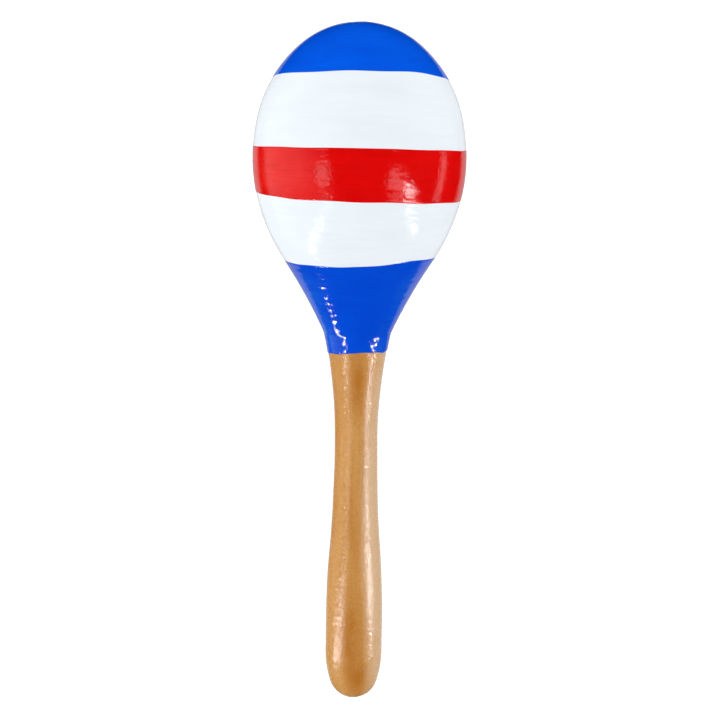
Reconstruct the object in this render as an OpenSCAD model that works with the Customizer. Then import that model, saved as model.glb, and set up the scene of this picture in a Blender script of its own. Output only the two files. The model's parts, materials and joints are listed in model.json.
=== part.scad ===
// A turned wooden maraca with painted bands, lying on a table.
// Units are millimetres. The instrument is drawn upright, with its axis on Z, the crown up and
// the neck joint at Z = 0, and lying() then sets it down as it rests, head and butt touching the
// table. In the finished frame +Z is up, +Y runs from the butt to the crown, and the origin is
// on the table under the middle of the length.

/* [Head] */
// Length of the head, from the neck joint to the crown
head_length = 107.9; // [105:0.1:110]
// Largest diameter of the head, at the belly
head_diameter = 73.2; // [71:0.1:76]
// Height of the belly above the neck joint
belly_height = 62.4; // [60:0.1:64]
// Radius of the crown's cap
crown_radius = 31.3; // [30:0.1:32.5]
// Angle above the belly at which the crown's cap begins
crown_angle = 50; // [48:1:54]
// Radius of the shoulder between the crown and the belly
shoulder_radius = 45; // [43.5:0.1:46.5]
// Radius of the hollow flank that leads into the neck
flank_radius = 186; // [170:1:200]
// Diameter of the neck's end
neck_diameter = 21.6; // [20.5:0.1:22.4]
// Thickness of the turned wall
wall = 4; // [3:0.1:5]
// Height of the chamber's floor above the neck joint
floor_height = 22.2; // [18:0.1:26]

/* [Handle] */
// Length of the handle below the neck joint
handle_length = 132.1; // [128:0.1:138]
// Diameter of the collar at the top of the handle, a little wider than the neck
collar_diameter = 22.5; // [21.6:0.1:23.5]
// Diameter of the slimmest part of the grip
waist_diameter = 15.2; // [14:0.1:16.5]
// Distance of the slimmest part below the neck joint
waist_depth = 35.9; // [32:0.1:40]
// Radius of the long hollow below the waist
grip_radius = 550; // [450:1:650]
// Largest diameter of the butt
butt_diameter = 20.4; // [19.5:0.1:21.5]
// Distance of the butt's straight part below the neck joint
butt_depth = 104.3; // [101:0.1:106]
// Length of the butt's straight part
butt_straight = 10; // [6:0.5:12]
// Radius of the butt's round end
butt_end_radius = 8.9; // [8.5:0.1:9.2]

/* [Joints] */
// Diameter of the tenon that is glued in the neck
tenon_diameter = 12; // [10:0.5:13]
// How far the tenon stands out of the chamber's floor
tenon_reach = 1.5; // [0.5:0.5:4]
// Bevel on the tenon's end
tenon_bevel = 1; // [0.5:0.1:2]
// Height of the lip that locates the crown on the bowl
lip_height = 2.5; // [2:0.5:5]
// Depth of the eased edges at the neck joint
edge_ease = 0.35; // [0.2:0.05:0.6]

/* [Seeds] */
// Number of seeds in the chamber
seed_count = 24; // [1:1:26]
// Diameter of one seed
seed_diameter = 5.5; // [4:0.1:5.5]
// Scale of the spiral in which the seeds lie
seed_spread = 3.75; // [3.7:0.01:3.85]
// Clearance between a seed and the chamber wall
seed_gap = 0.15; // [0.1:0.05:0.3]

/* [Paint] */
// Height at which the blue cap begins
cap_from = 89.7; // [84:0.1:94]
// Height of the red band's upper edge
red_to = 65.3; // [64:0.1:68]
// Height of the red band's lower edge
red_from = 48.1; // [45:0.1:51]
// Height of the blue neck's upper edge
neck_blue_to = 26.6; // [24:0.1:30]
// How far the blue paint laps down over the handle's collar
collar_lap = 4.8; // [3:0.1:7]

/* [Hidden] */
function seed_name(i) = str("seed_", i < 10 ? "0" : "", i);
$fn = 180;
head_r = head_diameter / 2;
neck_r = neck_diameter / 2;
collar_r = collar_diameter / 2;
waist_r = waist_diameter / 2;
butt_r = butt_diameter / 2;
tenon_r = tenon_diameter / 2;
seed_r = seed_diameter / 2;
lip_r = head_r - wall / 2;
far = 2 * head_diameter;
// Neighbouring arcs cross by this much instead of just touching, so they meet in a clean edge
cross = 0.004;
blue = "#0550da";
white = "#e9edf2";
red = "#df1410";
bare_wood = "#e0bd8c";
varnished_wood = "#cf9a5c";
seed_brown = "#4a3020";

function along(angle) = [cos(angle), sin(angle)];
function bearing(from, to) = atan2(to[1] - from[1], to[0] - from[0]);

// Head: centres of the arcs, from the crown down, as [distance from axis, height]
crown_c = [0, head_length - crown_radius];
shoulder_c = crown_c - (shoulder_radius - crown_radius + cross) * along(crown_angle);
shoulder_span = [head_r, belly_height] - shoulder_c;
shoulder_core = shoulder_radius - cross;
belly_square = shoulder_span * shoulder_span - pow(shoulder_core, 2);
belly_radius = belly_square / (2 * (shoulder_span[0] - shoulder_core));
belly_c = [head_r - belly_radius, belly_height];
belly_angle = bearing(belly_c, shoulder_c);
// The flank's arc meets the belly's and ends at the rim of the neck
neck_rim = [neck_r, 0];
rim_span = norm(neck_rim - belly_c);
rim_line = (neck_rim - belly_c) / rim_span;
flank_span = belly_radius + flank_radius - cross;
flank_share = (pow(flank_span, 2) - pow(flank_radius, 2) + pow(rim_span, 2)) / (2 * rim_span);
flank_lift = sqrt(pow(flank_span, 2) - pow(flank_share, 2));
flank_c = belly_c + flank_share * rim_line + flank_lift * [-rim_line[1], rim_line[0]];
flank_angle = bearing(belly_c, flank_c);

// Handle: centres of the arcs, from the neck joint down
waist_drop = collar_r - waist_r + cross;
collar_radius = (pow(waist_depth, 2) + pow(waist_drop, 2)) / (2 * waist_drop);
collar_c = [waist_r - cross + collar_radius, -waist_depth];
grip_c = [waist_r + grip_radius, -waist_depth];
butt_out = butt_r + cross;
grip_run = butt_depth - waist_depth;
grip_swell = butt_out - waist_r;
swell_run = pow(grip_run, 2) + pow(grip_swell, 2) - pow(cross, 2) + 2 * grip_radius * cross;
swell_radius = (swell_run - 2 * grip_radius * grip_swell) / (2 * (grip_swell - cross));
swell_c = [butt_out - swell_radius, -butt_depth];
swell_top = swell_c[1] + swell_radius * sin(bearing(swell_c, grip_c));
straight_end = -butt_depth - butt_straight;
butt_end_c = [0, butt_end_radius - handle_length];
butt_run = straight_end - butt_end_c[1];
butt_core = butt_end_radius - cross;
butt_side_square = pow(butt_out, 2) + pow(butt_run, 2) - pow(butt_core, 2);
butt_side_radius = butt_side_square / (2 * (butt_out - butt_core));
butt_side_c = [butt_out - butt_side_radius, straight_end];
butt_end_top = butt_end_c[1] + butt_end_radius * sin(bearing(butt_side_c, butt_end_c));

// Lying pose: the table's line touches the belly's arc and the side of the butt
touch_span = belly_c - butt_side_c;
touch_turn = acos((butt_side_radius - belly_radius) / norm(touch_span));
tilt = touch_turn - atan2(touch_span[1], touch_span[0]);
axis_height = belly_c[0] * cos(tilt) - belly_c[1] * sin(tilt) + belly_radius;
crown_tip = crown_c[1] * cos(tilt) + crown_radius;
butt_tip = butt_end_c[1] * cos(tilt) - butt_end_radius;

// Seeds: they lie in a sunflower spiral round the chamber's lowest point
golden_angle = 137.508;
seed_inset = wall + seed_gap + seed_r;
pool_height = belly_height - (belly_radius - wall) * sin(tilt);
function seed_ring(i) = seed_spread * sqrt(i - 0.5);
function seed_side(i) = seed_ring(i) * cos(i * golden_angle);
function seed_height(i) = pool_height + seed_ring(i) * sin(i * golden_angle);
function seed_rise(i) = seed_height(i) - belly_height;
// Distance from the axis at which a seed's centre is when the seed is at the wall
function seed_orbit(i) = belly_c[0] + sqrt(pow(belly_radius - seed_inset, 2) - pow(seed_rise(i), 2));
function seed_drop(i) = sqrt(pow(seed_orbit(i), 2) - pow(seed_side(i), 2));

// Sets an upright shape down on the table, with its +Y side below
module lying() {
    translate([0, -(crown_tip + butt_tip) / 2, axis_height])
        rotate([tilt - 90, 0, 0])
            children();
}

// Turns a half-outline round the instrument's axis
module turned() {
    rotate_extrude() children();
}

// Keeps the part of a half-outline between two heights
module between(low, high) {
    intersection() {
        children();
        translate([0, low]) square([far, high - low]);
    }
}

// A disc of the given centre and radius
module disc(centre, radius) {
    translate(centre) circle(radius);
}

// Half-outline of the head, with its surface moved in by inset and cut off below base
module head_outline(inset = 0, base = 0) {
    crown_low = crown_c[1] + (crown_radius - inset) * sin(crown_angle);
    shoulder_low = shoulder_c[1] + (shoulder_radius - inset) * sin(belly_angle);
    belly_low = belly_c[1] + (belly_radius - inset) * sin(flank_angle);
    between(base, head_length) disc(crown_c, crown_radius - inset);
    between(base, crown_low) disc(shoulder_c, shoulder_radius - inset);
    between(base, shoulder_low) disc(belly_c, belly_radius - inset);
    difference() {
        translate([0, base]) square([head_r, belly_low - base]);
        disc(flank_c, flank_radius + inset);
    }
}

// Half-section of the whole hollow head
module head_section() {
    difference() {
        head_outline();
        head_outline(inset = wall, base = floor_height);
        translate([0, -1]) square([tenon_r, floor_height + 2]);
        eased_edge(neck_r);
    }
}

// Small bevel, for cutting from an edge of the given radius at the neck joint
module eased_edge(edge_r) {
    translate([edge_r, 0]) rotate(45) square(edge_ease * sqrt(2), center = true);
}

// Half-section of the head's upper half, rebated for the lip of the lower half
module crown_section() {
    difference() {
        between(belly_height, head_length) head_section();
        translate([0, belly_height - 1]) square([lip_r, lip_height + 1]);
    }
}

// Upper half of the head: blue cap, white band and the top of the red band
module head_crown() {
    lying() {
        color(blue) turned() between(cap_from, head_length) crown_section();
        color(white) turned() between(red_to, cap_from) crown_section();
        color(red) turned() between(belly_height, red_to) crown_section();
    }
}

// Lower half of the head: bare locating lip, red band, white band and blue neck
module head_bowl() {
    lying() {
        color(bare_wood) turned() difference() {
            translate([0, belly_height]) square([lip_r, lip_height]);
            head_outline(inset = wall, base = floor_height);
        }
        color(red) turned() between(red_from, belly_height) head_section();
        color(white) turned() between(neck_blue_to, red_from) head_section();
        color(blue) turned() between(0, neck_blue_to) head_section();
    }
}

// Collar and grip: a straight blank hollowed by the collar's arc and the grip's
module grip_outline() {
    difference() {
        translate([0, swell_top]) square([collar_r, -swell_top]);
        disc(collar_c, collar_radius);
        between(swell_top - 1, -waist_depth) disc(grip_c, grip_radius);
        eased_edge(collar_r);
    }
}

// Butt: swell, straight part, side and round end
module butt_outline() {
    between(-butt_depth, -waist_depth) intersection() {
        disc(swell_c, swell_radius);
        translate([0, -handle_length]) square([butt_r, handle_length]);
    }
    translate([0, straight_end]) square([butt_r, butt_straight]);
    between(butt_end_top, straight_end) intersection() {
        disc(butt_side_c, butt_side_radius);
        translate([0, -handle_length]) square([butt_r, handle_length]);
    }
    between(-handle_length, butt_end_c[1]) disc(butt_end_c, butt_end_radius);
}

// Tenon with a bevelled end; it carries on down through the heart of the handle
module tenon_outline() {
    tenon_end = floor_height + tenon_reach;
    shoulder = tenon_end - tenon_bevel;
    translate([0, butt_end_c[1]]) square([tenon_r, shoulder - butt_end_c[1]]);
    polygon([[0, shoulder], [tenon_r, shoulder], [tenon_r - tenon_bevel, tenon_end], [0, tenon_end]]);
}

// Handle, turned in one piece with its tenon; the head's paint laps down over its collar
module handle() {
    lying() {
        color(blue) turned() between(-collar_lap, 0) grip_outline();
        color(varnished_wood) turned() {
            tenon_outline();
            between(swell_top, -collar_lap) grip_outline();
            butt_outline();
        }
    }
}

// One loose seed, at rest on the chamber's lower wall
module seed(i) {
    color(seed_brown)
        lying()
            translate([seed_side(i), seed_drop(i), seed_height(i)])
                sphere(seed_r, $fn = 48);
}

head_crown();
head_bowl();
handle();
for (i = [1:seed_count]) seed(i);
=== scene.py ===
import json
import math

import bpy
import numpy as np
from mathutils import Matrix, Vector


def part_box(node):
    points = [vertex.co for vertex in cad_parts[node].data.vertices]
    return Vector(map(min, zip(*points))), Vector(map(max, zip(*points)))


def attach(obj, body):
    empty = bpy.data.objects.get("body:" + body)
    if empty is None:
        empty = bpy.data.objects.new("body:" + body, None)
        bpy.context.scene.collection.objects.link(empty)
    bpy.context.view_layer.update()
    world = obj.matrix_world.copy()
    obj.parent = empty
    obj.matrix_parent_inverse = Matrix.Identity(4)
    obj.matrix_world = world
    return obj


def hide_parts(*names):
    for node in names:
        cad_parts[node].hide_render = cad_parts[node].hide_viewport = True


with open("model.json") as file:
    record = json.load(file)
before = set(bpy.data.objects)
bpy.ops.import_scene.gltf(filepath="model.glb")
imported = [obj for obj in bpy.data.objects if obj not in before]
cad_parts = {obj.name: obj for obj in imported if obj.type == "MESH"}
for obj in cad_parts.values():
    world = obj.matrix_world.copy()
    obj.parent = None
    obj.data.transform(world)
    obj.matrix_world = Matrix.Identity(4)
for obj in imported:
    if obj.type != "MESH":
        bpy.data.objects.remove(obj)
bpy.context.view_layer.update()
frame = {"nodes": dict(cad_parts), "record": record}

# Lengths below are in millimetres unless a name says otherwise; MM turns them into metres.
MM = 0.001
COLUMNS = 256  # columns of points round every turned piece
ROW_STEP = 0.45  # spacing of the rows of points along an outline

# ---------------------------------------------------------------- where the maraca lies
# Local axes: x to the side, y towards the table, z along the turning axis towards the crown,
# with the neck joint at z = 0.


def mount(name):
    """The record's mount of that name."""
    return next(m for m in frame["record"]["mounts"] if m["name"] == name)


GRIP_DEPTH = 50.9  # the hand_grip mount lies this far below the neck joint
to_crown = -np.array(mount("handle_butt")["axis"], float)
to_side = np.array([1.0, 0.0, 0.0])
to_table = np.cross(to_crown, to_side)
neck_joint = np.array(mount("hand_grip")["pos_m"], float) + GRIP_DEPTH * MM * to_crown


def placed(local):
    """Points given along the local axes in millimetres, moved to the row frame in metres."""
    return neck_joint + MM * (local @ np.array([to_side, to_table, to_crown]))


# ---------------------------------------------------------------- outlines
# The same arcs as in the CAD. An outline is four arrays: distance along it, radius, height and
# the bearing of its outward normal, counted from straight out (0) to straight up (90 degrees).

HEAD_LENGTH = 107.9
BELLY_HEIGHT = 62.4
HEAD_R = (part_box("head_crown")[1].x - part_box("head_crown")[0].x) / 2 / MM
CROWN_RADIUS = 31.3
CROWN_ANGLE = math.radians(50)
SHOULDER_RADIUS = 45.0
FLANK_RADIUS = 186.0
NECK_R = 10.8
COLLAR_R = 11.25
WAIST_R = 7.6
WAIST_DEPTH = 35.9
GRIP_RADIUS = 550.0
BUTT_R = 10.2
BUTT_DEPTH = 104.3
BUTT_STRAIGHT = 10.0
BUTT_END_RADIUS = 8.9
NEARLY_FLAT = 1e4  # radius of an arc that stands for a straight line
HANDLE_LENGTH = 132.1
TENON_R = 5.97
TENON_END = 23.7
TENON_BEVEL = 1.0


def polar(angle):
    return np.array([math.cos(angle), math.sin(angle)])


def bearing(start, end):
    return math.atan2(end[1] - start[1], end[0] - start[0])


def arc(centre, radius, start, end):
    """Points and normals of an arc. A negative radius is a hollow, whose normal points inwards."""
    count = max(3, int(abs(radius * (end - start)) / 0.1))
    angles = np.linspace(start, end, count)
    spokes = np.stack([np.cos(angles), np.sin(angles)], 1)
    return np.column_stack([centre + radius * spokes, angles])


def joined(pieces):
    """One outline from arcs that follow each other."""
    rows = np.concatenate(pieces)
    steps = np.linalg.norm(np.diff(rows[:, :2], axis=0), axis=1)
    return np.column_stack([np.concatenate([[0], np.cumsum(steps)]), rows])


def head_arcs():
    """Crown, shoulder, belly and flank, from the crown's tip to the rim of the neck."""
    crown = np.array([0.0, HEAD_LENGTH - CROWN_RADIUS])
    shoulder = crown - (SHOULDER_RADIUS - CROWN_RADIUS) * polar(CROWN_ANGLE)
    reach = np.array([HEAD_R, BELLY_HEIGHT]) - shoulder
    belly_radius = (reach @ reach - SHOULDER_RADIUS**2) / (2 * (reach[0] - SHOULDER_RADIUS))
    belly = np.array([HEAD_R - belly_radius, BELLY_HEIGHT])
    rim = np.array([NECK_R, 0.0])
    span = np.linalg.norm(rim - belly)
    line = (rim - belly) / span
    reach = belly_radius + FLANK_RADIUS
    share = (reach**2 - FLANK_RADIUS**2 + span**2) / (2 * span)
    lift = math.sqrt(reach**2 - share**2)
    flank = belly + share * line + lift * np.array([-line[1], line[0]])
    turn = bearing(belly, flank)
    return [
        arc(crown, CROWN_RADIUS, math.pi / 2, CROWN_ANGLE),
        arc(shoulder, SHOULDER_RADIUS, CROWN_ANGLE, bearing(belly, shoulder)),
        arc(belly, belly_radius, bearing(belly, shoulder), turn),
        arc(flank, -FLANK_RADIUS, turn, bearing(rim, flank)),
    ]


def collar_arc(depth):
    """The collar from the neck joint down to the given depth below it."""
    drop = COLLAR_R - WAIST_R
    radius = (WAIST_DEPTH**2 + drop**2) / (2 * drop)
    centre = np.array([WAIST_R + radius, -WAIST_DEPTH])
    start = math.asin(-WAIST_DEPTH / radius)
    end = math.asin((depth - WAIST_DEPTH) / radius)
    return arc(centre, -radius, start, end)


def handle_arcs():
    """Collar, grip, swell, straight part and butt, from the neck joint to the butt's tip."""
    grip = np.array([WAIST_R + GRIP_RADIUS, -WAIST_DEPTH])
    run, out = BUTT_DEPTH - WAIST_DEPTH, BUTT_R - WAIST_R
    swell_radius = (run**2 + out**2) / (2 * out) - GRIP_RADIUS
    swell = np.array([BUTT_R - swell_radius, -BUTT_DEPTH])
    turn = bearing(swell, grip)
    low = -BUTT_DEPTH - BUTT_STRAIGHT
    end = np.array([0.0, BUTT_END_RADIUS - HANDLE_LENGTH])
    run = low - end[1]
    side_radius = (BUTT_R**2 + run**2 - BUTT_END_RADIUS**2) / (2 * (BUTT_R - BUTT_END_RADIUS))
    side = np.array([BUTT_R - side_radius, low])
    return [
        collar_arc(WAIST_DEPTH),
        arc(grip, -GRIP_RADIUS, 0, turn),
        arc(swell, swell_radius, turn, 0),
        arc(np.array([BUTT_R - NEARLY_FLAT, low]), NEARLY_FLAT, BUTT_STRAIGHT / NEARLY_FLAT, 0),
        arc(side, side_radius, 0, bearing(side, end)),
        arc(end, BUTT_END_RADIUS, bearing(side, end), -math.pi / 2),
    ]


def at(outline, along):
    """Radius, height and normal bearing at distances along an outline."""
    return [np.interp(along, outline[:, 0], outline[:, k]) for k in (1, 2, 3)]


def distance_at(outline, height):
    """Distance along an outline at which it has the given height."""
    return np.interp(-np.asarray(height, float), -outline[:, 2], outline[:, 0])


# ---------------------------------------------------------------- hand-made unevenness

angles = np.arange(COLUMNS) * 2 * math.pi / COLUMNS  # 0 faces up, a quarter turn faces +X


def waves(seed, count, turns, length, low=0):
    """Random smooth relief of unit size: a sum of waves that close round the axis.
    turns is the largest number of waves round it, length the range of wavelengths along it."""
    draw = np.random.default_rng(seed)
    round_it = draw.integers(low, turns + 1, count) * draw.choice([-1, 1], count)
    along_it = 2 * math.pi / draw.uniform(*length, count) * draw.choice([-1, 1], count)
    phase = draw.uniform(0, 2 * math.pi, count)

    def relief(angle, along):
        total = np.zeros(np.broadcast(angle, along).shape)
        for a, b, c in zip(round_it, along_it, phase):
            total += np.sin(a * angle + b * along + c)
        return total * math.sqrt(2 / count)

    return relief


paint_swell = waves(3, 24, 5, (18, 45))
paint_brush = waves(4, 46, 30, (2.2, 6.0), low=6)
paint_drag = waves(5, 34, 9, (1.7, 3.6))
NECK_STARTS = 82.0  # distance from the crown along the surface
wood_swell = waves(6, 18, 4, (14, 50))
wood_facets = waves(7, 36, 16, (1.8, 5.0))


def paint_relief(angle, along):
    """How far the paint's surface stands above or below its mean, in millimetres."""
    at_neck = 0.5 + 0.5 * np.tanh((along - NECK_STARTS) / 10.0)
    marks = 0.008 * paint_brush(angle, along) + 0.012 * paint_drag(angle, along)
    return 0.018 * paint_swell(angle, along) + (0.50 + 0.50 * at_neck) * marks


def border(seed, left, half_left, middle, half_right, right, waver=0.10):
    """Heights of a hand-painted border all round the axis. The five heights given are spread over
    the side that faces up, 45 degrees apart; the underside runs level, and the brush wavers."""
    back = (left + right) / 2
    knots = [middle, half_right, right, (right + back) / 2]
    knots += [back, (left + back) / 2, left, half_left]
    tones = np.fft.fft(knots) / len(knots)
    heights = tones[0].real + tones[4].real * np.cos(4 * angles)
    for k in (1, 2, 3):
        heights += 2 * (tones[k] * np.exp(1j * k * angles)).real
    return heights + waver * waves(seed, 7, 11, (50, 90), low=2)(angles, 0.0)


# ---------------------------------------------------------------- mesh building


def turned_mesh(name, rings, closed):
    """A mesh through rings of points. A ring of one point is a pole; closed joins the last ring
    to the first."""
    starts = np.cumsum([0] + [len(r) for r in rings])
    points = placed(np.concatenate(rings))
    faces = []
    pairs = list(zip(range(len(rings)), range(1, len(rings))))
    if closed:
        pairs.append((len(rings) - 1, 0))
    here = np.arange(COLUMNS)
    ahead = np.roll(here, -1)
    for a, b in pairs:
        sa, sb = starts[a], starts[b]
        if len(rings[a]) == 1:
            quads = np.stack([np.full(COLUMNS, sa), sb + here, sb + ahead], 1)
        elif len(rings[b]) == 1:
            quads = np.stack([sa + here, np.full(COLUMNS, sb), sa + ahead], 1)
        else:
            quads = np.stack([sa + here, sb + here, sb + ahead, sa + ahead], 1)
        faces.extend(quads.tolist())
    mesh = bpy.data.meshes.new(name)
    mesh.from_pydata(points.tolist(), [], faces)
    mesh.polygons.foreach_set("use_smooth", np.ones(len(faces), bool))
    mesh.update()
    piece = bpy.data.objects.new(name, mesh)
    bpy.context.scene.collection.objects.link(piece)
    return piece


def ring(radius, height):
    """Points round the axis at the given radius and height, each a number or one per column."""
    radius, height = np.broadcast_arrays(radius, height + 0 * angles)
    return np.stack([radius * np.sin(angles), -radius * np.cos(angles), height], 1)


def skin_ring(outline, along, lift):
    """Ring on an outline, lifted along its normal."""
    radius, height, normal = at(outline, along)
    return ring(radius + lift * np.cos(normal), height + lift * np.sin(normal))


# ---------------------------------------------------------------- coats of paint

EMBED = 0.06  # how far a coat's borders reach into the wood
UNDERSIDE = 0.09  # how far the rest of its underside lies inside the wood
UNDERSIDE_ROWS = 20
ROUND_EDGE = 0.55  # width over which a coat's edge rounds down
BEAD = 0.035  # extra thickness that the brush leaves along a border
BEAD_PLACE, BEAD_WIDTH = 0.55, 0.28  # where the bead stands, counted from the border
BORDER_ZONE = 1.6 * ROUND_EDGE  # close to a border the rows are finer, so that its edge is round
BORDER_MARGIN = 1.7 * ROUND_EDGE
PAINT_FILL = 3.6  # up to this height the paint bridges the notch between head and collar
COLLAR_PAINTED = 9.0  # the collar's outline is followed this far down
BRIDGE_ROUND = 0.07  # how softly the bridge turns into the flank and the collar
CREVICE_BEARING = math.radians(31)
CREVICE_DEPTH = 0.60
CREVICE_HALF_WIDTH = 0.10  # round the neck, in radians
CREVICE_HALF_HEIGHT = 0.30
JOINT_ZONE, JOINT_ROWS = 1.2, 19  # rows are added this close to the neck joint for the crevice


def painted_arcs():
    """What the paint follows: the head, then a smooth bridge over the neck joint, then the collar."""
    head, collar = joined(head_arcs()), joined([collar_arc(COLLAR_PAINTED)])
    above = head[head[:, 2] > PAINT_FILL, 1:]
    heights = np.linspace(PAINT_FILL, 0.0, 60)[1:]
    flank = at(head, distance_at(head, heights))[0]
    rise = math.tan(collar[0, 3])
    straight = COLLAR_R - rise * heights
    gap = (flank - straight) / 2
    radius = straight + gap + np.sqrt(gap**2 + BRIDGE_ROUND**2)
    normal = np.arctan(np.gradient(radius, -heights))
    below = collar[1:, 1:].copy()
    below[:, 0] += 0.01
    return [above, np.column_stack([radius, heights, normal]), below]


painted = joined(painted_arcs())
joint_along = distance_at(painted, 0.0)


def crevice(along):
    """Depth of the short open crevice that the paint has left over the neck joint."""
    across = (angles - CREVICE_BEARING) / CREVICE_HALF_WIDTH
    down = (along - joint_along + 0.1) / CREVICE_HALF_HEIGHT
    return CREVICE_DEPTH * np.exp(-(across**4)) * np.exp(-(down**4))


def coat_rows(first, last, is_cap):
    """Distances along the outline of a coat's rows, one number per column in each row."""
    start = first if is_cap else first + BORDER_MARGIN
    span = last - BORDER_MARGIN - start
    shares = np.linspace(0, 1, max(8, int(np.max(span) / ROW_STEP)))
    if is_cap:
        shares = shares[1:]
    elif np.min(last) > joint_along:
        fine = np.linspace(-JOINT_ZONE, JOINT_ZONE, JOINT_ROWS)
        shares = np.union1d(shares, (joint_along + fine - start.mean()) / span.mean())
    ease = np.linspace(0, 1, 9)[1:] ** 1.7 * BORDER_ZONE
    above = [] if is_cap else [first + step for step in ease]
    below = [last - step for step in ease[::-1]]
    return above + [start + span * share for share in shares] + below


def coat_lift(along, from_edge, thickness):
    """Height of a coat's surface above the outline, rounded down to the wood at its borders."""
    share = np.clip(from_edge / ROUND_EDGE, 0, 1)
    lift = thickness + paint_relief(angles, along) - crevice(along)
    lift = lift + BEAD * np.exp(-(((from_edge - BEAD_PLACE) / BEAD_WIDTH) ** 2))
    return -EMBED + (lift + EMBED) * np.sqrt(1 - (1 - share) ** 2)


def coat(name, top, bottom, thickness, material, slot):
    """One coat of paint between two borders. top is None for the cap, which covers the tip."""
    is_cap = top is None
    first = np.zeros(COLUMNS) if is_cap else distance_at(painted, top)
    last = distance_at(painted, bottom)
    rings = []
    for along in coat_rows(first, last, is_cap):
        from_edge = last - along if is_cap else np.minimum(along - first, last - along)
        rings.append(skin_ring(painted, along, coat_lift(along, from_edge, thickness)))
    if is_cap:
        rings.insert(0, np.array([[0.0, 0.0, HEAD_LENGTH + thickness]]))
    else:
        rings.insert(0, skin_ring(painted, first, -EMBED))
    rings.append(skin_ring(painted, last, -EMBED))
    for k in range(UNDERSIDE_ROWS - 1, 0, -1):
        along = first + (last - first) * k / UNDERSIDE_ROWS
        rings.append(skin_ring(painted, along, -UNDERSIDE))
    if is_cap:
        rings.append(np.array([[0.0, 0.0, HEAD_LENGTH - UNDERSIDE]]))
    piece = turned_mesh(name, rings, closed=not is_cap)
    piece.data.materials.append(material)
    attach(piece, "maraca")


# ---------------------------------------------------------------- materials


def add(tree, kind, inputs=None, **settings):
    """A node of that kind. inputs are numbers, colours or sockets, by the socket's name or place."""
    made = tree.nodes.new(kind)
    for key, value in settings.items():
        setattr(made, key, value)
    for key, value in (inputs or {}).items():
        if isinstance(value, bpy.types.NodeSocket):
            tree.links.new(value, made.inputs[key])
        else:
            made.inputs[key].default_value = value
    return made


def shader(name, **values):
    """A new material's node tree and its Principled shader, with the given constants."""
    material = bpy.data.materials.new(name)
    material.use_nodes = True
    tree = material.node_tree
    principled = next(n for n in tree.nodes if n.type == "BSDF_PRINCIPLED")
    for key, value in values.items():
        principled.inputs[key.replace("_", " ")].default_value = value
    return material, tree, principled


def math_node(tree, operation, a, b=0.0, c=0.0):
    return add(tree, "ShaderNodeMath", {0: a, 1: b, 2: c}, operation=operation).outputs[0]


def local_coordinates(tree):
    """The local axes' coordinates of a point, in metres."""
    turn = Matrix([to_side, to_table, to_crown])
    move = -(turn @ Vector(neck_joint))
    source = add(tree, "ShaderNodeTexCoord").outputs["Object"]
    mapping = add(tree, "ShaderNodeMapping", {"Vector": source})
    mapping.inputs["Location"].default_value = move
    mapping.inputs["Rotation"].default_value = turn.to_euler()
    return mapping.outputs[0]


def stretched(tree, vector, scale):
    """Coordinates multiplied by one number per axis."""
    return add(
        tree, "ShaderNodeVectorMath", {0: vector, 1: scale}, operation="MULTIPLY"
    ).outputs[0]


def noise(tree, vector, detail=3.0, roughness=0.55, distortion=0.0):
    inputs = {
        "Vector": vector,
        "Scale": 1.0,
        "Detail": detail,
        "Roughness": roughness,
        "Distortion": distortion,
    }
    return add(tree, "ShaderNodeTexNoise", inputs).outputs["Fac"]


def ramp(tree, value, low, high, out_low=0.0, out_high=1.0):
    """value taken from the range low to high onto another range, and held at its ends."""
    inputs = {0: value, 1: low, 2: high, 3: out_low, 4: out_high}
    return add(tree, "ShaderNodeMapRange", inputs).outputs[0]


def blended(tree, share, low, high):
    """Colour low where share is 0 and high where it is 1."""
    made = add(tree, "ShaderNodeMix", data_type="RGBA")
    for key, value in ((0, share), (6, low), (7, high)):
        if isinstance(value, bpy.types.NodeSocket):
            tree.links.new(value, made.inputs[key])
        else:
            made.inputs[key].default_value = value
    return made.outputs[2]


def round_coordinates(tree, local, around, along):
    """Coordinates for brush marks: the direction from the axis times around, and the height times
    along, so marks run round the maraca without a seam."""
    flat = stretched(tree, local, (1.0, 1.0, 0.0))
    outward = add(tree, "ShaderNodeVectorMath", {0: flat}, operation="NORMALIZE").outputs[0]
    spread = stretched(tree, outward, (around, around, 0.0))
    height = stretched(tree, local, (0.0, 0.0, along))
    return add(tree, "ShaderNodeVectorMath", {0: spread, 1: height}, operation="ADD").outputs[0]


def bump(tree, height, distance, normal=None):
    inputs = {"Height": height, "Distance": distance, "Strength": 1.0}
    if normal is not None:
        inputs["Normal"] = normal
    return add(tree, "ShaderNodeBump", inputs).outputs[0]


def patch(tree, local, centre, reach):
    """1 at a place in the wood, given in millimetres on the local axes, fading to 0 round it."""
    offset = add(
        tree, "ShaderNodeVectorMath", {0: local, 1: [c * MM for c in centre]}, operation="SUBTRACT"
    ).outputs[0]
    scaled = stretched(tree, offset, [1 / (r * MM) for r in reach])
    away = add(tree, "ShaderNodeVectorMath", {0: scaled}, operation="LENGTH").outputs["Value"]
    return ramp(tree, away, 1.0, 0.15)


def patched(tree, local, colour, places, ragged):
    """The colour with patches of other colours on it. places are a centre, a reach, a strength
    and a colour each; ragged breaks the patches up."""
    for centre, reach, strength, tint in places:
        place = math_node(tree, "MULTIPLY", patch(tree, local, centre, reach), strength)
        colour = blended(tree, math_node(tree, "MULTIPLY", place, ragged), colour, (*tint, 1))
    return colour


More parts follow.
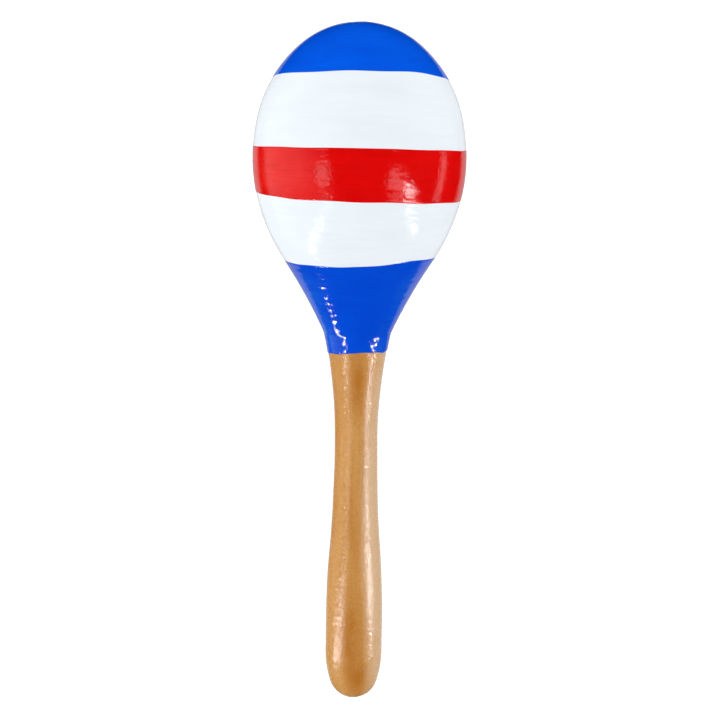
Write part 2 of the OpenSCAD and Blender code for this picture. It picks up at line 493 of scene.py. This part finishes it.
def enamel(name, thin, body, roughness, relief, coat=0.3, level=0.5, places=()):
    """Brushed gloss enamel: the thin colour shows where the brush dragged it, body elsewhere."""
    material, tree, principled = shader(
        name, IOR=1.5, Coat_Weight=coat, Coat_Roughness=0.03, Coat_IOR=1.5
    )
    principled.inputs["Specular IOR Level"].default_value = level
    local = local_coordinates(tree)
    streaks = noise(tree, round_coordinates(tree, local, 2.4, 900.0), 4.0, 0.6)
    broad = noise(tree, round_coordinates(tree, local, 1.1, 160.0), 2.0, 0.5)
    cloud = noise(tree, stretched(tree, local, (90.0, 90.0, 90.0)), 3.0, 0.5)
    share = math_node(tree, "MULTIPLY_ADD", streaks, 0.5, math_node(tree, "MULTIPLY", broad, 0.5))
    share = ramp(tree, math_node(tree, "MULTIPLY_ADD", cloud, 0.35, share), 0.35, 0.80)
    colour = blended(tree, share, (*thin, 1), (*body, 1))
    colour = patched(tree, local, colour, places, ramp(tree, share, 1.2, 0.2))
    tree.links.new(colour, principled.inputs["Base Color"])
    gloss = ramp(tree, streaks, 0.3, 0.75, roughness * 0.75, roughness * 1.35)
    tree.links.new(gloss, principled.inputs["Roughness"])
    peel = noise(tree, stretched(tree, local, (800.0, 800.0, 800.0)), 2.0, 0.6)
    lines = bump(tree, streaks, 0.45 * relief)
    normal = bump(tree, peel, relief, lines)
    tree.links.new(normal, principled.inputs["Normal"])
    tree.links.new(normal, principled.inputs["Coat Normal"])
    return material


def wood(name, pale, mid, dark, roughness, coat_weight, relief, places=()):
    """Turned wood: fibres and pores along the axis, growth bands across it, lathe rings round it."""
    material, tree, principled = shader(
        name, IOR=1.45, Coat_Weight=coat_weight, Coat_Roughness=0.07, Coat_IOR=1.5
    )
    principled.inputs["Sheen Weight"].default_value = 0.45
    principled.inputs["Sheen Roughness"].default_value = 0.25
    local = local_coordinates(tree)
    fibres = noise(tree, stretched(tree, local, (1300.0, 1300.0, 50.0)), 5.0, 0.62)
    bands = noise(tree, stretched(tree, local, (210.0, 120.0, 9.0)), 3.0, 0.5, 0.6)
    cloud = noise(tree, stretched(tree, local, (130.0, 130.0, 70.0)), 4.0, 0.6)
    pores = noise(tree, stretched(tree, local, (3000.0, 3000.0, 260.0)), 2.0, 0.5)
    rings = noise(tree, round_coordinates(tree, local, 3.0, 1200.0), 3.0, 0.65)
    speckle = noise(tree, stretched(tree, local, (720.0, 720.0, 720.0)), 2.0, 0.6)
    tone = math_node(tree, "MULTIPLY_ADD", fibres, 0.40, math_node(tree, "MULTIPLY", bands, 0.60))
    tone = math_node(tree, "MULTIPLY_ADD", cloud, 0.45, tone)
    tone = math_node(tree, "MULTIPLY_ADD", rings, 0.55, tone)
    tone = math_node(tree, "MULTIPLY_ADD", speckle, 0.30, tone)
    colour = blended(tree, ramp(tree, tone, 0.95, 1.35), (*mid, 1), (*pale, 1))
    deep = ramp(tree, bands, 0.50, 0.28, 0.0, 0.40)
    ragged = ramp(tree, math_node(tree, "MULTIPLY_ADD", fibres, 0.6, cloud), 0.55, 0.85, 0.45, 1.0)
    colour = blended(tree, deep, colour, (*dark, 1))
    colour = patched(tree, local, colour, places, ragged)
    pore = ramp(tree, pores, 0.66, 0.74, 0.0, 0.28)
    colour = blended(tree, pore, colour, tuple(0.45 * c for c in dark) + (1,))
    tree.links.new(colour, principled.inputs["Base Color"])
    dots = noise(tree, stretched(tree, local, (1500.0, 1500.0, 1500.0)), 1.0, 0.5)
    gloss = ramp(tree, dots, 0.42, 0.56, roughness * 1.5, roughness * 0.45)
    tree.links.new(gloss, principled.inputs["Roughness"])
    height = math_node(tree, "MULTIPLY_ADD", rings, 0.45, speckle)
    height = math_node(tree, "MULTIPLY_ADD", fibres, 0.25, height)
    height = math_node(tree, "SUBTRACT", height, pore)
    normal = bump(tree, height, relief)
    tree.links.new(normal, principled.inputs["Normal"])
    tree.links.new(normal, principled.inputs["Coat Normal"])
    return material


CAP_THIN, CAP_BODY = (0.000, 0.120, 0.86), (0.000, 0.088, 0.74)
NECK_THIN, NECK_BODY = (0.000, 0.084, 0.72), (0.000, 0.062, 0.63)
WHITE_THIN, WHITE_BODY = (0.79, 0.84, 0.88), (0.84, 0.89, 0.93)
RED_THIN, RED_BODY = (0.84, 0.004, 0.003), (0.70, 0.000, 0.000)
# the paler cyan blue is painted reflection, standing in for the pale room mirrored on the neck's
# sides
NECK_PAINTED_SHEEN, RED_LEFT_LIGHTER = (0.018, 0.165, 0.73), (0.93, 0.030, 0.018)
# painted shade: dark navy for the shadowed crevice over the neck joint
CREVICE_PAINTED_SHADE = (0.000, 0.008, 0.08)
# the first four patches put that painted reflection on the neck's left and right sides
NECK_PLACES = (
    ((-10.0, -5.0, 3.0), (8.0, 9.0, 12.0), 0.8, NECK_PAINTED_SHEEN),
    ((10.0, -5.0, 2.0), (6.0, 9.0, 12.0), 0.6, NECK_PAINTED_SHEEN),
    ((-16.5, -8.0, 18.0), (9.0, 12.0, 17.0), 0.9, NECK_PAINTED_SHEEN),
    ((16.5, -8.0, 18.0), (7.0, 12.0, 17.0), 0.7, NECK_PAINTED_SHEEN),
    # painted shade in the crevice over the neck joint
    ((5.7, -9.4, 0.1), (1.4, 1.4, 0.5), 1.5, CREVICE_PAINTED_SHADE),
)
# a lighter, more orange red on the upper left of the red band
RED_PLACES = (((-28.0, -20.0, 57.0), (24.0, 24.0, 11.0), 0.9, RED_LEFT_LIGHTER),)
cap_enamel = enamel("blue_enamel_cap", CAP_THIN, CAP_BODY, 0.09, 0.00006)
neck_enamel = enamel("blue_enamel_neck", NECK_THIN, NECK_BODY, 0.09, 0.00006, places=NECK_PLACES)
white_enamel = enamel("white_enamel", WHITE_THIN, WHITE_BODY, 0.09, 0.00007, coat=0.0, level=0.14)
red_enamel = enamel("red_enamel", RED_THIN, RED_BODY, 0.09, 0.00008, places=RED_PLACES)

# the dark brown colours the grain's bands and pores, and is also painted shade in the patches below
GRAIN_DARK_AND_SHADE, PAINTED_SHEEN_RIGHT = (0.45, 0.148, 0.010), (0.68, 0.44, 0.25)
# The first four patches are painted shade: a darker stripe down the handle's top centre, between the
# two side lights, strongest towards the butt.
WOOD_PLACES = (
    ((0.5, -9.0, -15.0), (4.5, 8.0, 19.0), 0.85, GRAIN_DARK_AND_SHADE),
    ((-1.0, -8.0, -70.0), (3.5, 7.0, 34.0), 0.25, GRAIN_DARK_AND_SHADE),
    ((-1.0, -10.0, -106.0), (6.0, 9.0, 22.0), 1.00, GRAIN_DARK_AND_SHADE),
    ((1.5, -9.0, -122.0), (6.0, 8.0, 11.0), 0.85, GRAIN_DARK_AND_SHADE),
    # painted reflection: the handle's right side paled as though the pale room shone in its varnish
    ((9.5, -4.0, -66.0), (9.3, 11.0, 90.0), 2.20, PAINTED_SHEEN_RIGHT),
)
varnished_wood = wood(
    "varnished_wood",
    pale=(0.66, 0.335, 0.105),
    mid=(0.57, 0.258, 0.055),
    dark=GRAIN_DARK_AND_SHADE,
    roughness=0.20,
    coat_weight=0.15,
    relief=0.00017,
    places=WOOD_PLACES,
)
bare_wood = wood(
    "bare_wood",
    pale=(0.72, 0.54, 0.34),
    mid=(0.62, 0.43, 0.24),
    dark=(0.45, 0.27, 0.12),
    roughness=0.62,
    coat_weight=0.0,
    relief=0.00004,
)

# ---------------------------------------------------------------- the painted head

for node in ("head_crown", "head_bowl"):
    slots = frame["nodes"][node].data.materials
    slots.clear()
    slots.append(bare_wood)

cap_edge = border(11, 89.0, 89.5, 89.8, 89.6, 88.2)
red_top = border(12, 66.0, 65.8, 65.6, 65.3, 65.5, 0.06)
red_low = border(13, 50.5, 49.05, 48.2, 47.7, 48.05)
neck_top = border(14, 27.15, 26.9, 27.05, 28.65, 28.85)
paint_end = border(15, -5.4, -5.05, -4.1, -4.35, -4.4)
WHITE_LAP = 1.4  # the white was painted first and runs this far under its neighbours
WHITE_COAT, TOP_COAT = 0.10, 0.17

for name, top, bottom in (
    ("paint_band_white_upper", cap_edge, red_top),
    ("paint_band_white_lower", red_low, neck_top),
):
    coat(name, top + WHITE_LAP, bottom - WHITE_LAP, WHITE_COAT, white_enamel, "paint_white")
coat("paint_cap_blue", None, cap_edge, TOP_COAT, cap_enamel, "paint_blue")
coat("paint_band_red", red_top, red_low, TOP_COAT, red_enamel, "paint_red")
coat("paint_neck_blue", neck_top, paint_end, TOP_COAT, neck_enamel, "paint_blue")

# ---------------------------------------------------------------- the handle

COLLAR_EASE = 0.35  # the collar's top edge is eased by this much
TIP_ZONE = 6.0  # the unevenness fades out over this distance before the butt's tip


def turned_handle():
    """The handle with its tenon, one closed turned piece."""
    outline = joined(handle_arcs())
    length = outline[-1, 0]
    rings = [
        np.array([[0.0, 0.0, TENON_END]]),
        ring(TENON_R - TENON_BEVEL, TENON_END),
        ring(TENON_R, TENON_END - TENON_BEVEL),
        ring(TENON_R, 0.02),
        ring(COLLAR_R - COLLAR_EASE, 0.0),
    ]
    rows = int(length / ROW_STEP)
    for k in range(rows):
        along = COLLAR_EASE + (length - COLLAR_EASE) * k / rows
        lift = 0.022 * wood_swell(angles, along) + 0.010 * wood_facets(angles, along)
        fade = min(1.0, (length - along) / TIP_ZONE)
        rings.append(skin_ring(outline, along, lift * fade))
    rings.append(np.array([[0.0, 0.0, -HANDLE_LENGTH]]))
    piece = turned_mesh("handle_turned", rings, closed=False)
    piece.data.materials.append(varnished_wood)
    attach(piece, "maraca")
    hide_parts("handle")


turned_handle()

# ---------------------------------------------------------------- the seeds

SEED_ROWS, SEED_TURNS = 24, 40  # points from end to end and round a seed
SEED_DARK, SEED_PALE = (0.030, 0.014, 0.008, 1), (0.125, 0.062, 0.028, 1)


def seed_coat():
    """Hard dark seed coat, mottled and satin."""
    material, tree, principled = shader("seed_coat", IOR=1.5, Coat_Weight=0.2, Coat_Roughness=0.25)
    source = add(tree, "ShaderNodeTexCoord").outputs["Object"]
    mottle = noise(tree, stretched(tree, source, (900.0, 900.0, 900.0)), 4.0, 0.6, 0.8)
    grain = noise(tree, stretched(tree, source, (5200.0, 5200.0, 5200.0)), 2.0, 0.5)
    colour = blended(tree, ramp(tree, mottle, 0.35, 0.65), SEED_DARK, SEED_PALE)
    tree.links.new(colour, principled.inputs["Base Color"])
    tree.links.new(ramp(tree, mottle, 0.3, 0.7, 0.28, 0.48), principled.inputs["Roughness"])
    tree.links.new(bump(tree, grain, 0.00003), principled.inputs["Normal"])
    return material


def seed_size(down, turn):
    """Radius of a seed's surface as a share of its CAD ball's. The scar is at down = 0."""
    ripple = 1 - 0.012 * (1 + math.sin(5 * turn) * math.sin(down))
    ripple -= 0.006 * (1 + math.sin(9 * down))
    scar = 0.10 * math.exp(-((down / 0.30) ** 2))
    rim = 0.055 * math.exp(-(((down - 0.42) / 0.12) ** 2))
    return ripple - max(scar - rim, -0.008)


def seed_faces():
    """Faces of a seed between its rows of points, with a single point at each end."""
    faces = []
    for i in range(SEED_ROWS):
        a = 0 if i == 0 else 1 + (i - 1) * SEED_TURNS
        b = 1 + i * SEED_TURNS
        for j in range(SEED_TURNS):
            k = (j + 1) % SEED_TURNS
            if i == 0:
                faces.append((0, b + j, b + k))
            elif i == SEED_ROWS - 1:
                faces.append((a + j, b, a + k))
            else:
                faces.append((a + j, b + j, b + k, a + k))
    return faces


def loose_seed(node, material, draw):
    """A round, slightly flattened seed with a scar where it hung, inside its CAD ball."""
    low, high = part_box(node)
    centre, radius = (low + high) / 2, (high.x - low.x) / 2
    made = bpy.data.meshes.new(node + "_coat")
    piece = bpy.data.objects.new(node + "_coat", made)
    bpy.context.scene.collection.objects.link(piece)
    flat, slim = draw.uniform(0.84, 0.96), draw.uniform(0.90, 0.99)
    points = []
    for i in range(SEED_ROWS + 1):
        down = math.pi * i / SEED_ROWS
        for j in range(SEED_TURNS if 0 < i < SEED_ROWS else 1):
            turn = 2 * math.pi * j / SEED_TURNS
            size = radius * seed_size(down, turn)
            x = size * slim * math.sin(down) * math.cos(turn)
            y = size * math.sin(down) * math.sin(turn)
            points.append((x, y, size * flat * math.cos(down)))
    spin = Matrix.Rotation(draw.uniform(0, 2 * math.pi), 3, "Z")
    spin = spin @ Matrix.Rotation(draw.uniform(0, math.pi), 3, "X")
    points = [centre + spin @ Vector(p) for p in points]
    made.from_pydata([tuple(p) for p in points], [], seed_faces())
    made.polygons.foreach_set("use_smooth", np.ones(len(made.polygons), bool))
    made.materials.append(material)
    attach(piece, node)
    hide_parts(node)


seed_material = seed_coat()
seed_draw = np.random.default_rng(24)
for seed_node in sorted(n for n in frame["nodes"] if n.startswith("seed_")):
    loose_seed(seed_node, seed_material, seed_draw)

# ---------------------------------------------------------------- floor, light and camera

scene = bpy.context.scene
scene.view_settings.view_transform = "Standard"
FLOOR_Z = -0.30  # just under the thickest paint
FLOOR_HALF = 12.0  # half the table's width, in metres
ROOM_LIGHT = 0.86


def studio_floor():
    """A wide white table."""
    mesh = bpy.data.meshes.new("floor")
    corners = [(-1, -1), (1, -1), (1, 1), (-1, 1)]
    points = [(x * FLOOR_HALF, y * FLOOR_HALF, FLOOR_Z * MM) for x, y in corners]
    mesh.from_pydata(points, [], [(0, 1, 2, 3)])
    floor = bpy.data.objects.new("floor", mesh)
    scene.collection.objects.link(floor)
    material, tree, principled = shader("floor_white", Roughness=0.9, Specular_IOR_Level=0.1)
    principled.inputs["Base Color"].default_value = (0.60, 0.60, 0.60, 1)
    principled.inputs["Emission Color"].default_value = (1, 1, 1, 1)
    principled.inputs["Emission Strength"].default_value = 0.70
    mesh.materials.append(material)
    floor.visible_glossy = False


def soft_light(name, low, high, width, radiance, glossy=True, diffuse=True):
    """A rectangular light that faces the maraca, between the two given ends, in metres."""
    low, high = Vector(low), Vector(high)
    light = bpy.data.lights.new(name, "AREA")
    light.shape = "RECTANGLE"
    light.size = width
    light.size_y = (high - low).length
    light.energy = radiance * math.pi * light.size * light.size_y
    lamp = bpy.data.objects.new(name, light)
    scene.collection.objects.link(lamp)
    middle = (low + high) / 2
    up = (high - low).normalized()
    side = up.cross(middle).normalized()
    axes = Matrix([side, up, side.cross(up)]).transposed().to_4x4()
    lamp.matrix_world = Matrix.Translation(middle) @ axes
    lamp.visible_camera = False
    lamp.visible_glossy = glossy
    lamp.visible_diffuse = diffuse


def softbox(name, azimuth, low, high, width, radiance, glossy=True, diffuse=True):
    """A soft light a metre away. azimuth is counted from +Y towards +X; low and high are the
    elevations of its two ends and width its breadth, all in degrees."""
    turn = math.radians(azimuth)
    ends = []
    for elevation in (math.radians(low), math.radians(high)):
        out = math.cos(elevation)
        ends.append((out * math.sin(turn), out * math.cos(turn), math.sin(elevation)))
    breadth = 2 * math.tan(math.radians(width) / 2)
    soft_light(name, ends[0], ends[1], breadth, radiance, glossy, diffuse)


def upright_strip(name, x, y, low, high, radiance):
    """A slim strip 1 cm wide and about 35 cm from the maraca, placed in metres, which only shows
    in the gloss."""
    soft_light(name, (x, y, low), (x, y, high), 0.010, radiance, diffuse=False)


def room():
    """A plain pale room. Only the softboxes are reflected in the paint."""
    world = bpy.data.worlds.new("room")
    world.use_nodes = True
    scene.world = world
    background = next(n for n in world.node_tree.nodes if n.type == "BACKGROUND")
    background.inputs["Color"].default_value = (0.97, 0.985, 1.0, 1)
    background.inputs["Strength"].default_value = ROOM_LIGHT
    world.cycles_visibility.glossy = False


studio_floor()
room()
# narrow strips draw the bright broken lines in the gloss, panels the paler patches round them
upright_strip("strip_left", -0.263, -0.220, 0.0, 0.26, 62.0)
upright_strip("strip_left_top", -0.263, -0.220, 0.26, 0.42, 18.0)
upright_strip("strip_right", 0.327, -0.180, 0.05, 0.22, 75.0)
softbox("strip_handle", 112, 22, 37, 1.6, 40.0, diffuse=False)
softbox("panel_right", 114, 38, 55, 12, 1.5, diffuse=False)
softbox("panel_left", -110, 43, 57, 14, 1.2, diffuse=False)
softbox("edge_right", 94, -11, -3, 26, 1.1, diffuse=False)
softbox("table_glow", 0, -125, -55, 75, 0.40, diffuse=False)
for step in range(4):
    softbox(f"wide_left_{step}", -90, 2 * step - 30, 56 - 9 * step, 60 - 12 * step, 0.13)
# soft lamps that only shape the paint's own colour
softbox("soft_left", -110, 15, 65, 50, 0.35, glossy=False)
softbox("low_right", 90, 0, 32, 60, 0.45, glossy=False)
softbox("soft_crown", 20, 35, 80, 50, 0.45, glossy=False)

SENSOR = 36.0
CAMERA_FOCAL = 67.5
camera_data = bpy.data.cameras.new("camera")
camera_data.sensor_width = SENSOR
camera_data.lens = CAMERA_FOCAL
camera = bpy.data.objects.new("camera", camera_data)
scene.collection.objects.link(camera)
camera.location = (0.00103, 0.0039, 0.5018)
camera.rotation_euler = (0, 0, math.radians(0.716))
scene.camera = camera
